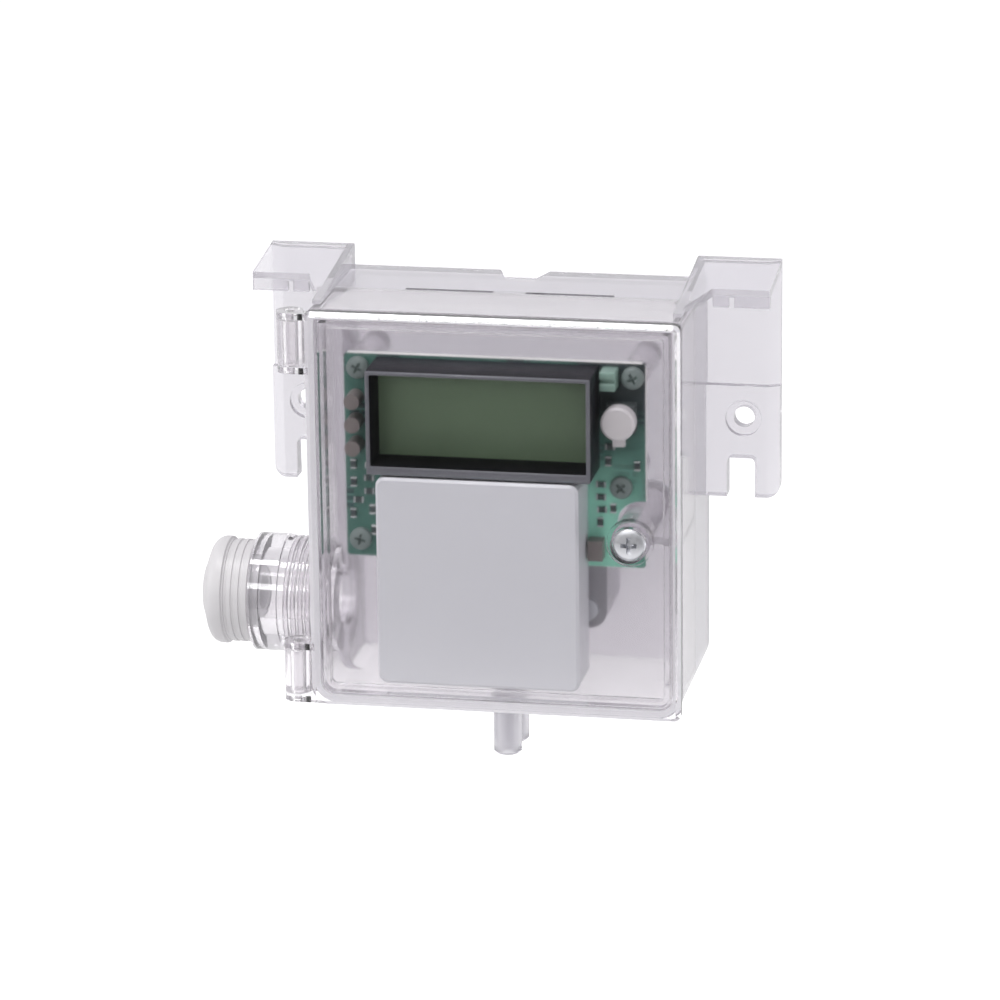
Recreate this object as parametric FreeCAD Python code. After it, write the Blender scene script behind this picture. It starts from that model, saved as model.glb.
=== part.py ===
"""Wall-mounted differential pressure transmitter in a clear case.

Millimetres. +Z is up, the front faces -Y and the wall is the plane Y = 0.
The origin lies on the wall, midway between the two wall screws.
"""
import FreeCAD, Part
import math
import os

V = FreeCAD.Vector

# Case outline
case_width = 80.0
case_height = 87.0
case_drop = 57.0            # from the wall screws down to the underside
case_wall = 2.2
case_top_round = 1.5
case_bottom_round = 5.0

# Wall bracket
bracket_plate = 2.4
bracket_wall = 2.0
bracket_depth = 19.3
nest_clearance = 0.2        # case in bracket, and bracket edge to case shoulder
notch_width = 7.0
notch_flare = 2.2
notch_depth = 6.0
catch_window_length = 19.0
catch_window_depth = 1.2
catch_clearance = 0.25

# Mounting ears
screw_spacing = 96.0
screw_hole = 4.6
screw_recess = 7.8
screw_recess_depth = 1.6
ear_reach = 15.8            # beyond the side of the case
ear_drop = 17.5             # below the wall screws
ear_round = 2.5
ear_bevel = 2.6
ear_bevel_depth = 1.2
pad_top = 7.3               # above the wall screws
pad_thickness = 2.0
slot_width = 6.1
slot_top = -8.8
slot_round = 1.0
slot_offset = -0.5          # slot centre from the screw line, outwards
roof_rise = 4.7             # roof over the case top, at the wall
roof_tip_rise = 1.0
roof_thickness = 1.8
roof_tip_back = 6.5         # tip of the gusset behind the door front
fin_thickness = 1.8
fin_inset = 2.4             # fin's inner face from the side of the case
lip_height = 4.0
lip_thickness = 1.6
lip_start = 3.6             # beyond the side of the case
lip_notch = 1.2
lip_notch_offset = 7.0

# Depth stack, from the rear wall of the case to the door
chamber_depth = 7.8
diaphragm_edge = 0.6
board_gap = 1.4
board_thickness = 1.6
shroud_depth = 12.0
cover_depth = 12.3
door_clearance = 1.9
seal_thickness = 0.8
seal_gap = 0.1
door_thickness = 2.8

# Door
door_round = 1.5
door_bevel = 1.0            # round the front edge
skirt_gap = 0.4
skirt_thickness = 1.2
skirt_depth = 3.0
seal_inset = 0.4
seal_width = 1.4
door_screw_inset = 11.0     # from the right side of the case
door_screw_height = 38.8    # above the underside
screw_head = 7.0
screw_head_height = 2.2
screw_core = 2.8
screw_thread = 3.8
screw_reach = 3.0           # into the boss
screw_side_gap = 0.4
screw_seat_gap = 0.05
head_sink = 0.2
door_boss = 10.0
door_boss_depth = 2.0
case_boss = 8.4
boss_gap = 0.4
boss_bore_depth = 8.0
boss_rib = 1.6
cross_width = 0.9
cross_length = 4.2
cross_depth = 1.3

# Hinge
hinge_offset = 3.4          # axis beyond the side of the case
hinge_setback = 0.2         # axis behind the door's rear face
knuckle_radius = 2.9
knuckle_height = 9.6
knuckle_arm = 4.0
lug_thickness = 1.4
lug_gap = 0.4
hinge_end = 0.4             # lug to the top or underside of the case
pin_radius = 1.0
pin_fit = 0.05
pin_inset = 0.2

# Cable gland
spigot_height = 18.0        # axis above the underside
spigot_radius = 12.8
spigot_length = 15.9
spigot_clearance = 0.4
thread_length = 9.5
thread_depth = 0.8
neck_radius = 10.0
neck_length = 8.5
gland_bore = 8.0
entry_bore = 6.0
grommet_depth = 10.0        # grommet seat behind the end of the neck
grommet_gap = 0.2
grommet_length = 9.0
cable_bore = 4.0
ring_thickness = 1.7
ring_bore = 5.0
nut_radius = 11.7
nut_gap = 0.4               # nut to the end of the spigot
nut_thread_gap = 0.3
nut_end_gap = 0.3
nut_end_wall = 2.0
nut_bore = 5.5
nut_round = 3.2

# Circuit board
board_side_gap = 0.6
board_right_gap = 5.4
board_rise = 29.0           # above the underside
board_top_gap = 8.4         # below the roof of the rear cavity
board_round = 1.0
boss_clearance = 0.8
standoff_radius = 3.0
standoff_bore_depth = 6.5
board_screw_core = 1.0
board_screw_length = 6.0
board_screw_head = 2.4
board_screw_head_height = 1.8
board_hole_gap = 0.25
pilot_gap = 0.1
board_screw_left = 3.2
board_screw_right = 2.6
board_screw_top = 3.0
board_screw_bottom = 4.0
board_screw_low_inset = 5.2
board_screw_over_boss = 8.2

# Display
shroud_left = 7.1           # from the left edge of the board
shroud_right = 9.9          # from the right edge of the board
shroud_top_gap = 0.6
shroud_rise = 21.8          # above the foot of the board
shroud_wall = 0.9
shroud_floor = 1.9
panel_gap = 0.15
panel_thickness = 2.2
strip_thickness = 0.8
strip_height = 2.2

# Terminal cover and terminals
cover_left = 9.0            # from the left edge of the board
cover_right = 12.5          # from the right edge of the board
cover_gap = 0.4
cover_floor_gap = 2.2
cover_wall = 1.4
cover_round = 2.0
cover_bevel = 0.6
wire_slot_height = 14.0
wire_slot_rise = 4.0
pole_pitch = 5.08
pole_count = 6
block_height = 10.0
block_depth = 10.0
block_rise = 1.2
wire_hole = 3.2             # square
wire_hole_depth = 7.0
well_side = 3.8             # square
well_depth = 4.5
terminal_screw_radius = 1.7
terminal_screw_height = 2.0

# Button, switch and small parts on the board
button_inset = 4.9
button_drop = 11.5
button_radius = 3.7
button_height = 3.2
button_bevel = 0.5
button_tab_width = 2.6
button_tab_length = 1.6
button_travel = 0.5
button_rest_gap = 0.1
stem_radius = 1.5
stem_fit = 0.05
stem_length = 1.9
switch_size = 6.2
switch_height = 3.4
jumper_gap = 0.8
jumper_width = 3.4
jumper_height = 4.2
jumper_depth = 5.0
jumper_top = 0.8
jumper_groove = 0.8
chip_size = 6.0
chip_thickness = 1.5
chip_count = 3
chip_spacing = 10.0
chip_rise = 2.0
capacitor_radius = 1.7
capacitor_height = 5.0
capacitor_inset = 2.6
capacitor_spacing = 5.2
capacitor_count = 3
capacitor_drop = 9.6
film_capacitor = (3.2, 4.4, 3.6)
film_capacitor_rise = 2.2

# Pressure cell
cell_left_gap = 4.0         # to the standoffs on each side
cell_right_gap = 0.8
cell_height = 37.0          # middle above the underside
cell_round = 4.0
cell_wall = 3.0             # outside of the diaphragm
diaphragm_clamp = 2.5       # rim held between the chambers
cell_cavity_depth = 5.2
diaphragm_fit = 0.2
disc_radius = 10.0
disc_thickness = 0.8
disc_pin_radius = 1.0
disc_pin_gap = 0.1
beam_width = 5.0
beam_length = 18.5
beam_thickness = 0.6
beam_post = 1.8
beam_post_inset = 5.5       # post middle from the edge of the cavity
post_size = 5.0
port_radius = 3.1
port_bore = 1.5
port_reach = 17.0           # below the underside of the case
port_chamfer = 0.6
port_clearance = 0.3
stem_port_radius = 3.4     # inside the case, down to the underside
cell_screw_inset = 4.3
cell_screw_core = 1.2
cell_screw_gap = 0.1
cell_screw_head = 2.4
cell_screw_head_height = 1.0
cell_screw_depth = 11.0
cell_pin_side = 0.64
cell_pin_gap = 0.15
cell_pin_count = 3
cell_pin_pitch = 2.0
cell_pin_short = 0.3        # ends inside the board
cell_pin_drop = 1.6         # below the top of the cell

# Places worked out from the sizes above
x_right = case_width / 2
x_left = -x_right
z_bottom = -case_drop
z_top = z_bottom + case_height
step_inset = bracket_wall + nest_clearance
x_rear_in = x_right - step_inset - case_wall
y_case_rear = -(bracket_plate + nest_clearance)
y_rear_in = y_case_rear - case_wall
y_cell_mid = y_rear_in - chamber_depth - diaphragm_edge
y_cell_front = y_cell_mid - chamber_depth
y_board_rear = y_cell_front - board_gap
y_board = y_board_rear - board_thickness
y_cover = y_board - cover_depth
y_door_rear = y_cover - door_clearance
y_rim = y_door_rear + seal_gap + seal_thickness
y_door = y_door_rear - door_thickness
y_shoulder = -(bracket_depth + nest_clearance)
board_x0 = -x_rear_in + board_side_gap
board_x1 = x_rear_in - board_right_gap
board_z0 = z_bottom + board_rise
board_z1 = z_top - step_inset - case_wall - board_top_gap
shroud_x0 = board_x0 + shroud_left
shroud_x1 = board_x1 - shroud_right
shroud_z1 = board_z1 - shroud_top_gap
shroud_z0 = board_z0 + shroud_rise
cover_x0 = board_x0 + cover_left
cover_x1 = board_x1 - cover_right
cover_z1 = shroud_z0 - cover_gap
cover_z0 = z_bottom + case_wall + cover_floor_gap
boss_x = x_right - door_screw_inset
boss_z = z_bottom + door_screw_height
y_door_boss = y_door_rear + door_boss_depth
y_boss = y_door_boss + boss_gap
hinge_x = x_left - hinge_offset
hinge_y = y_door_rear + hinge_setback
hinge_block = knuckle_height + 2 * (lug_gap + lug_thickness)
hinge_bases = (z_bottom + hinge_end, z_top - hinge_end - hinge_block)
spigot_y = y_shoulder
spigot_z = z_bottom + spigot_height
x_spigot = x_left - spigot_length
x_neck = x_spigot - neck_length
x_grommet = x_neck + grommet_depth
x_ring = x_grommet - grommet_length
x_nut_inside = x_ring - ring_thickness - nut_end_gap
cell_z = z_bottom + cell_height
front_port_y = y_cell_mid - chamber_depth / 2
rear_port_y = y_rear_in - chamber_depth / 2
button_x = board_x1 - button_inset
button_z = board_z1 - button_drop
y_switch = y_board - switch_height
y_button = y_switch - button_travel - button_rest_gap
board_screws = (
    (board_x0 + board_screw_left, board_z1 - board_screw_top),
    (board_x1 - board_screw_right, board_z1 - board_screw_top),
    (board_x0 + board_screw_left, board_z0 + board_screw_bottom),
    (board_x1 - board_screw_low_inset, boss_z + board_screw_over_boss),
)
cell_x0 = board_screws[2][0] + standoff_radius + cell_left_gap
cell_x1 = board_screws[3][0] - standoff_radius - cell_right_gap
cell_size = cell_x1 - cell_x0
cell_middle = (cell_x0 + cell_x1) / 2
diaphragm_radius = cell_size / 2 - cell_wall
cell_cavity = diaphragm_radius - diaphragm_clamp
beam_post_z = cell_z + cell_cavity - beam_post_inset
cell_pins = tuple(
    (cell_middle + (i - (cell_pin_count - 1) / 2) * cell_pin_pitch, cell_z + cell_size / 2 - cell_pin_drop)
    for i in range(cell_pin_count)
)
cell_screws = tuple(
    (cell_middle + i * (cell_size / 2 - cell_screw_inset), cell_z + k * (cell_size / 2 - cell_screw_inset))
    for i in (-1, 1)
    for k in (-1, 1)
)
poles = tuple(
    (cover_x0 + cover_x1) / 2 + (i - (pole_count - 1) / 2) * pole_pitch for i in range(pole_count)
)
block_z0 = board_z0 + block_rise
block_z1 = block_z0 + block_height
overlap = 1.0               # how far joined forms of one moulding run into each other
least_round = 0.4           # for inner corners that follow a rounded outer one


def box(x0, x1, y0, y1, z0, z1):
    return Part.makeBox(x1 - x0, y1 - y0, z1 - z0, V(x0, y0, z0))


def rod(radius, start, end):
    return Part.makeCylinder(radius, (end - start).Length, start, end - start)


def rod_y(radius, x, z, y0, y1):
    return rod(radius, V(x, y0, z), V(x, y1, z))


def rod_z(radius, x, y, z0, z1):
    return rod(radius, V(x, y, z0), V(x, y, z1))


def joined(first, *others):
    return first.fuse(list(others)).removeSplitter()


def rectangle(u0, u1, v0, v1):
    return [(u0, v0), (u1, v0), (u1, v1), (u0, v1)]


def point_on(plane, u, v, w):
    """Point with coordinates u, v in the named plane, at height w over it."""
    if plane == "XZ":
        return V(u, w, v)
    if plane == "XY":
        return V(u, v, w)
    return V(w, u, v)


def outline_wire(corners, radii, plane, height):
    """Closed polygon in a plane, with each corner rounded by its own radius."""
    places = [V(u, v, 0) for u, v in corners]
    runs = []
    for i, corner in enumerate(places):
        before = (places[i - 1] - corner).normalize()
        after = (places[(i + 1) % len(places)] - corner).normalize()
        if radii[i] <= 0:
            runs.append((corner, None, corner))
            continue
        half = before.getAngle(after) / 2
        reach = radii[i] / math.tan(half)
        bisector = (before + after).normalize()
        middle = corner + bisector * (radii[i] / math.sin(half) - radii[i])
        runs.append((corner + before * reach, middle, corner + after * reach))
    edges = []
    for i, (start, middle, end) in enumerate(runs):
        on_plane = [point_on(plane, p.x, p.y, height) for p in (start, middle or start, end)]
        if middle is not None:
            edges.append(Part.Arc(*on_plane).toShape())
        following = runs[(i + 1) % len(runs)][0]
        if (following - end).Length > 1e-6:
            onward = point_on(plane, following.x, following.y, height)
            edges.append(Part.LineSegment(on_plane[2], onward).toShape())
    return Part.Wire(edges)


def prism(corners, plane, start, end, radius=0.0):
    """Solid over a polygon; radius is one value, or one for each corner."""
    radii = radius if isinstance(radius, (list, tuple)) else [radius] * len(corners)
    face = Part.Face(outline_wire(corners, radii, plane, start))
    return face.extrude(point_on(plane, 0, 0, end - start))


def case_section(inset, bottom_inset, y0, y1):
    """Bar with the section of the case, drawn in by inset at the top and sides."""
    corners = rectangle(x_left + inset, x_right - inset, z_bottom + bottom_inset, z_top - inset)
    low = max(case_bottom_round - bottom_inset, least_round)
    high = max(case_top_round - inset, least_round)
    return prism(corners, "XZ", y0, y1, [low, low, high, high])


def turned(profile, centre, axis):
    """Solid of revolution; the profile lists (place along the axis, radius)."""
    across = axis.cross(V(0, 0, 1))
    points = [centre + axis * along + across * radius for along, radius in profile]
    wire = Part.makePolygon(points + points[:1])
    return Part.Face(wire).revolve(centre, axis, 360)


def mirrored(shape):
    return shape.mirror(V(0, 0, 0), V(1, 0, 0))


def cross_drive(x, y, z, width, length, depth):
    """Cross recess cut into a screw head whose top lies at y."""
    across = box(x - length / 2, x + length / 2, y, y + depth, z - width / 2, z + width / 2)
    upright = box(x - width / 2, x + width / 2, y, y + depth, z - length / 2, z + length / 2)
    return across.fuse(upright)


def make_right_ear():
    """Ear plate with its pad, sloping roof, gusset fin and front lip."""
    inner = x_right - bracket_wall / 2
    outer = x_right + ear_reach
    roof_z = z_top + roof_rise
    outline = prism(
        rectangle(inner, outer, -ear_drop, roof_z), "XZ", -(bracket_plate + pad_thickness), 0,
        [0, ear_round, 0, 0])

    def bevelled(y_front, z0, z1):
        corners = [(inner, 0), (outer, 0), (outer, y_front + ear_bevel_depth), (outer - ear_bevel, y_front),
                   (inner, y_front)]
        return prism(corners, "XY", z0, z1)

    plate = bevelled(-bracket_plate, -ear_drop, roof_z)
    pad = bevelled(-(bracket_plate + pad_thickness), -ear_drop, pad_top)
    pad = pad.cut(box(inner, x_right, -bracket_depth, -bracket_plate, -ear_drop, pad_top))
    plates = plate.fuse(pad).common(outline)

    y_tip = y_door + roof_tip_back
    x_fin = x_right - fin_inset
    z_tip = z_top + roof_tip_rise
    slope = [(y_tip, z_tip), (0, roof_z), (0, roof_z - roof_thickness), (y_tip, z_tip - roof_thickness)]
    plan = [(x_fin, y_tip), (x_right + lip_start, -bracket_depth), (outer, -bracket_depth), (outer, 0),
            (x_fin, 0)]
    roof = prism(slope, "YZ", x_fin, outer)
    roof = roof.common(prism(plan, "XY", z_bottom, roof_z))
    fin_side = [(y_tip, z_top), (0, z_top - bracket_wall / 2), (0, roof_z), (y_tip, z_tip)]
    fin = prism(fin_side, "YZ", x_fin, x_fin + fin_thickness)
    roof_at_lip = roof_z - (roof_z - z_tip) * bracket_depth / -y_tip
    lip = box(x_right + lip_start, outer, -bracket_depth, -bracket_depth + lip_thickness,
              roof_at_lip - lip_height, roof_at_lip - roof_thickness / 2)
    notch_x = x_right + lip_notch_offset
    notch = box(notch_x, notch_x + lip_notch, -bracket_depth - 1, -bracket_depth + lip_thickness,
                roof_at_lip - lip_height, roof_at_lip - roof_thickness)
    over_case = box(x_fin - 1, x_right + nest_clearance, y_tip - 1, -bracket_depth,
                    z_bottom, z_top + nest_clearance)
    return joined(plates, roof, fin, lip.cut(notch)).cut(over_case)


def make_ear_cuts():
    """Recessed screw hole and open slot of the right ear."""
    x = screw_spacing / 2
    y_front = -(bracket_plate + pad_thickness)
    hole = rod_y(screw_hole / 2, x, 0, y_front - 1, 1)
    recess = rod_y(screw_recess / 2, x, 0, y_front - 1, y_front + screw_recess_depth)
    middle = x + slot_offset
    slot = prism(
        rectangle(middle - slot_width / 2, middle + slot_width / 2, -ear_drop - 1, slot_top), "XZ",
        y_front - 1, 1, [0, 0, slot_round, slot_round])
    return hole.fuse([recess, slot])


def make_mounting_bracket():
    """Cradle open to the front and below, with an ear on each side."""
    shell = case_section(0, 0, -bracket_depth, 0)
    pocket_x = x_right - bracket_wall
    pocket = box(-pocket_x, pocket_x, -bracket_depth - 1, -bracket_plate,
                 z_bottom - 1, z_top - bracket_wall)
    ear = make_right_ear()
    cuts = make_ear_cuts()
    half = notch_width / 2
    rear_half = half + notch_flare
    notch = prism([(-rear_half, 1), (rear_half, 1), (half, -notch_depth), (-half, -notch_depth)], "XY",
                  z_top - bracket_wall, z_top + 1)
    window = box(half, half + catch_window_length, -bracket_depth - 1, -bracket_depth + catch_window_depth,
                 z_top - bracket_wall, z_top + 1)
    spigot_cut = rod(spigot_radius + spigot_clearance, V(x_left - 1, spigot_y, spigot_z),
                     V(-pocket_x + 1, spigot_y, spigot_z))
    body = joined(shell.cut(pocket), ear, mirrored(ear))
    return body.cut([cuts, mirrored(cuts), notch, window, mirrored(window), spigot_cut]).removeSplitter()


def make_spigot():
    """Cable spigot, cut back to the root of its conduit thread, and the neck for the gland nut."""
    root = x_left + step_inset + case_wall / 2
    x_thread = x_left - thread_length
    thread_root = spigot_radius - thread_depth
    profile = [
        (root, 0),
        (root, thread_root),
        (x_thread, thread_root),
        (x_thread, spigot_radius),
        (x_spigot, spigot_radius),
        (x_spigot, neck_radius),
        (x_neck, neck_radius),
        (x_neck, 0),
    ]
    return turned(profile, V(0, spigot_y, spigot_z), V(1, 0, 0))


def make_hinge_knuckle(base):
    """Knuckle of the case between two door lugs, on an arm from the side wall."""
    z0 = base + lug_thickness + lug_gap
    z1 = z0 + knuckle_height
    barrel = rod_z(knuckle_radius, hinge_x, hinge_y, z0, z1)
    arm = box(hinge_x - knuckle_radius, x_left + case_wall - nest_clearance, y_rim, y_rim + knuckle_arm,
              z0, z1)
    hole = rod_z(pin_radius + pin_fit, hinge_x, hinge_y, z0 - 1, z1 + 1)
    return barrel.fuse(arm).cut(hole)


def make_housing():
    """Clear case: two stepped boxes open to the front, with spigot, bosses and knuckles."""
    outside = case_section(0, 0, y_rim, y_shoulder).fuse(
        case_section(step_inset, 0, y_shoulder, y_case_rear))
    y_inner_step = y_shoulder - case_wall
    inside = case_section(case_wall, case_wall, y_rim - 1, y_inner_step).fuse(
        case_section(step_inset + case_wall, case_wall, y_inner_step - overlap, y_rear_in))
    spigot = make_spigot()
    shell = outside.fuse(spigot).cut(inside.cut(spigot))

    forms = [rod_y(case_boss / 2, boss_x, boss_z, y_boss, y_rear_in + overlap)]
    x_rib_end = x_rear_in + case_wall / 2
    rib_z0 = boss_z - boss_rib / 2
    rib_z1 = boss_z + boss_rib / 2
    forms.append(box(boss_x, x_rib_end, y_boss + overlap, y_rear_in + overlap, rib_z0, rib_z1))
    x_front_rib = x_right - case_wall / 2
    forms.append(box(x_rib_end - overlap, x_front_rib, y_boss + overlap, y_inner_step, rib_z0, rib_z1))
    for x, z in board_screws:
        forms.append(rod_y(standoff_radius, x, z, y_board_rear, y_rear_in + overlap))
    for base in hinge_bases:
        forms.append(make_hinge_knuckle(base))
    catch_x = notch_width / 2 + catch_clearance
    catch_y = -bracket_depth + catch_clearance
    catch = box(catch_x, notch_width / 2 + catch_window_length - catch_clearance, catch_y,
                -bracket_depth + catch_window_depth - catch_clearance,
                z_top - step_inset - case_wall / 2, z_top - bracket_wall / 4)
    forms += [catch, mirrored(catch)]

    cuts = [
        rod_y(screw_thread / 2, boss_x, boss_z, y_boss - 1, y_boss + boss_bore_depth),
        rod(entry_bore, V(x_grommet - 1, spigot_y, spigot_z), V(-x_rear_in + 1, spigot_y, spigot_z)),
        rod(gland_bore, V(x_neck - 1, spigot_y, spigot_z), V(x_grommet, spigot_y, spigot_z)),
    ]
    for x, z in board_screws:
        cuts.append(rod_y(board_screw_core + pilot_gap, x, z, y_board_rear - 1,
                          y_board_rear + standoff_bore_depth))
    for y in (front_port_y, rear_port_y):
        cuts.append(rod_z(stem_port_radius + port_clearance, cell_middle, y, z_bottom - 1,
                          z_bottom + case_wall + 1))
    return joined(shell, *forms).cut(cuts).removeSplitter()


def make_hinge_lug(base):
    """Thin lug of the door, turning on the hinge pin."""
    top = base + lug_thickness
    disc = rod_z(knuckle_radius, hinge_x, hinge_y, base, top)
    y_front = hinge_y - knuckle_radius
    tongue = box(hinge_x, x_left + overlap, y_front, y_door_rear, base, top)
    return disc.fuse(tongue).cut(rod_z(pin_radius + pin_fit, hinge_x, hinge_y, base - 1, top + 1))


def make_front_door():
    """Clear door with a locating skirt, a sunk screw seat and four hinge lugs."""
    plate = prism(rectangle(x_left, x_right, z_bottom, z_top), "XZ", y_door, y_door_rear, door_round)
    front_edges = [edge for edge in plate.Edges if edge.BoundBox.YMax < y_door + 1e-4]
    plate = plate.makeChamfer(door_bevel, front_edges)
    inset = case_wall + skirt_gap
    skirt = case_section(inset, inset, y_door_rear - overlap, y_door_rear + skirt_depth)
    inside = inset + skirt_thickness
    hollow = case_section(inside, inside, y_door_rear, y_door_rear + skirt_depth + 1)
    boss = rod_y(door_boss / 2, boss_x, boss_z, y_door_rear - overlap, y_door_boss)
    lugs = []
    for base in hinge_bases:
        lugs.append(make_hinge_lug(base))
        lugs.append(make_hinge_lug(base + hinge_block - lug_thickness))
    seat = y_door + head_sink + screw_head_height + screw_seat_gap
    well = rod_y(screw_head / 2 + screw_side_gap, boss_x, boss_z, y_door - 1, seat)
    hole = rod_y(screw_core / 2 + screw_side_gap, boss_x, boss_z, y_door - 1, y_door_boss + 1)
    return joined(plate, skirt.cut(hollow), boss, *lugs).cut([well, hole]).removeSplitter()


def make_door_seal():
    outer = case_section(seal_inset, seal_inset, y_rim - seal_thickness, y_rim)
    inset = seal_inset + seal_width
    return outer.cut(case_section(inset, inset, y_rim - seal_thickness - 1, y_rim + 1))


def make_hinge_pins():
    return Part.makeCompound([
        rod_z(pin_radius, hinge_x, hinge_y, base + pin_inset, base + hinge_block - pin_inset)
        for base in hinge_bases])


def make_door_screw():
    """Pan head screw; its shank is drawn at the core of the thread."""
    y_head = y_door + head_sink
    y_seat = y_head + screw_head_height
    head = rod_y(screw_head / 2, boss_x, boss_z, y_head, y_seat)
    shank = rod_y(screw_core / 2, boss_x, boss_z, y_seat - overlap, y_boss + screw_reach)
    drive = cross_drive(boss_x, y_head, boss_z, cross_width, cross_length, cross_depth)
    return joined(head, shank).cut(drive)


def make_gland_nut():
    """Cap nut, its rounded end drawn as two bevels."""
    x_open = x_spigot - nut_gap
    x_end = x_nut_inside - nut_end_wall
    thread = neck_radius + nut_thread_gap
    slant = nut_round * (1 - math.cos(math.pi / 4))
    profile = [
        (x_open, thread),
        (x_open, nut_radius),
        (x_end + nut_round, nut_radius),
        (x_end + slant, nut_radius - slant),
        (x_end, nut_radius - nut_round),
        (x_end, nut_bore),
        (x_nut_inside, nut_bore),
        (x_nut_inside, thread),
    ]
    return turned(profile, V(0, spigot_y, spigot_z), V(1, 0, 0))


def make_ring(outer, bore, x0, x1):
    ring = rod(outer, V(x0, spigot_y, spigot_z), V(x1, spigot_y, spigot_z))
    return ring.cut(rod(bore, V(x0 + 1, spigot_y, spigot_z), V(x1 - 1, spigot_y, spigot_z)))


def make_gland_seal():
    return make_ring(gland_bore - grommet_gap, cable_bore, x_grommet, x_ring)


def make_gland_clamp_ring():
    return make_ring(gland_bore - grommet_gap, ring_bore, x_ring, x_ring - ring_thickness)


def make_main_pcb():
    outline = rectangle(board_x0, board_x1, board_z0, board_z1)
    board = prism(outline, "XZ", y_board, y_board_rear, board_round)
    reach = case_boss / 2 + boss_clearance
    cuts = [rod_y(reach, boss_x, boss_z, y_board - 1, y_board_rear + 1),
            box(boss_x, board_x1 + 1, y_board - 1, y_board_rear + 1, boss_z - reach, boss_z + reach)]
    for x, z in board_screws:
        cuts.append(rod_y(board_screw_core + board_hole_gap, x, z, y_board - 1, y_board_rear + 1))
    for x, z in cell_pins:
        reach = cell_pin_side / 2 + cell_pin_gap
        cuts.append(box(x - reach, x + reach, y_board - 1, y_board_rear + 1, z - reach, z + reach))
    return board.cut(cuts)


def make_pcb_screws():
    screws = []
    for x, z in board_screws:
        y_head = y_board - board_screw_head_height
        head = rod_y(board_screw_head, x, z, y_head, y_board)
        shank = rod_y(board_screw_core, x, z, y_board - board_screw_head_height / 2,
                      y_board + board_screw_length)
        screws.append(joined(head, shank))
    return Part.makeCompound(screws)


def make_lcd_shroud():
    """Open tube round the display, standing on the board."""
    tube = box(shroud_x0, shroud_x1, y_board - shroud_depth, y_board, shroud_z0, shroud_z1)
    hollow = box(shroud_x0 + shroud_wall, shroud_x1 - shroud_wall, y_board - shroud_depth - 1, y_board + 1,
                 shroud_z0 + shroud_floor, shroud_z1 - shroud_wall)
    return tube.cut(hollow)


def make_lcd_panel():
    x0 = shroud_x0 + shroud_wall + panel_gap
    x1 = shroud_x1 - shroud_wall - panel_gap
    y_back = y_board - strip_thickness
    return box(x0, x1, y_back - panel_thickness, y_back, shroud_z0 + shroud_floor + panel_gap,
               shroud_z1 - shroud_wall - panel_gap)


def make_lcd_contact_strips():
    x0 = shroud_x0 + shroud_wall + panel_gap
    x1 = shroud_x1 - shroud_wall - panel_gap
    low = shroud_z0 + shroud_floor + panel_gap
    high = shroud_z1 - shroud_wall - panel_gap - strip_height
    return Part.makeCompound([
        box(x0, x1, y_board - strip_thickness, y_board, z, z + strip_height) for z in (low, high)])


def make_terminal_cover():
    """Blank cover over the terminals, open towards the board."""
    shell = prism(rectangle(cover_x0, cover_x1, cover_z0, cover_z1), "XZ", y_cover, y_board, cover_round)
    front_edges = [edge for edge in shell.Edges if edge.BoundBox.YMax < y_cover + 1e-4]
    shell = shell.makeChamfer(cover_bevel, front_edges)
    inside = rectangle(cover_x0 + cover_wall, cover_x1 - cover_wall, cover_z0 + cover_wall,
                       cover_z1 - cover_wall)
    inner_round = max(cover_round - cover_wall, least_round)
    hollow = prism(inside, "XZ", y_cover + cover_wall, y_board + 1, inner_round)
    slot_z = cover_z0 + wire_slot_rise
    slot = box(cover_x0 - 1, cover_x0 + cover_wall + 1, y_cover + cover_depth / 2, y_board + 1,
               slot_z, slot_z + wire_slot_height)
    return shell.cut([hollow, slot])


def make_terminal_block():
    half = pole_pitch / 2
    y_front = y_board - block_depth
    block = box(poles[0] - half, poles[-1] + half, y_front, y_board, block_z0, block_z1)
    well_z = (block_z0 + block_z1) / 2
    y_wire = (y_front + well_depth + y_board) / 2
    cuts = []
    for x in poles:
        cuts.append(box(x - well_side / 2, x + well_side / 2, y_front - 1, y_front + well_depth,
                        well_z - well_side / 2, well_z + well_side / 2))
        cuts.append(box(x - wire_hole / 2, x + wire_hole / 2, y_wire - wire_hole / 2, y_wire + wire_hole / 2,
                        block_z0 - 1, block_z0 + wire_hole_depth))
    return block.cut(cuts)


def make_terminal_screws():
    y_floor = y_board - block_depth + well_depth
    well_z = (block_z0 + block_z1) / 2
    return Part.makeCompound([
        rod_y(terminal_screw_radius, x, well_z, y_floor - terminal_screw_height, y_floor) for x in poles])


def make_zero_button():
    """Round cap with a finger tab, on a stem that slides in the switch."""
    cap = rod_y(button_radius, button_x, button_z, y_button - button_height, y_button)
    crown = [edge for edge in cap.Edges if edge.BoundBox.YMax < y_button - button_height + 1e-4]
    cap = cap.makeChamfer(button_bevel, crown)
    tab = box(button_x - button_tab_width / 2, button_x + button_tab_width / 2,
              y_button - button_height / 2, y_button, button_z - button_radius - button_tab_length, button_z)
    stem = rod_y(stem_radius, button_x, button_z, y_button - overlap, y_button + stem_length)
    return joined(cap, tab, stem)


def make_zero_switch():
    half = switch_size / 2
    body = box(button_x - half, button_x + half, y_switch, y_board, button_z - half, button_z + half)
    depth = stem_length + button_travel + button_rest_gap
    guide = rod_y(stem_radius + stem_fit, button_x, button_z, y_switch - 1, y_button + depth)
    return body.cut(guide)


def make_output_jumper():
    x0 = shroud_x1 + jumper_gap
    z1 = board_z1 - jumper_top
    block = box(x0, x0 + jumper_width, y_board - jumper_depth, y_board, z1 - jumper_height, z1)
    y_front = y_board - jumper_depth
    middle = z1 - jumper_height / 2
    groove = box(x0 - 1, x0 + jumper_width + 1, y_front - 1, y_front + jumper_groove,
                 middle - jumper_groove / 2, middle + jumper_groove / 2)
    return block.cut(groove)


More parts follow.
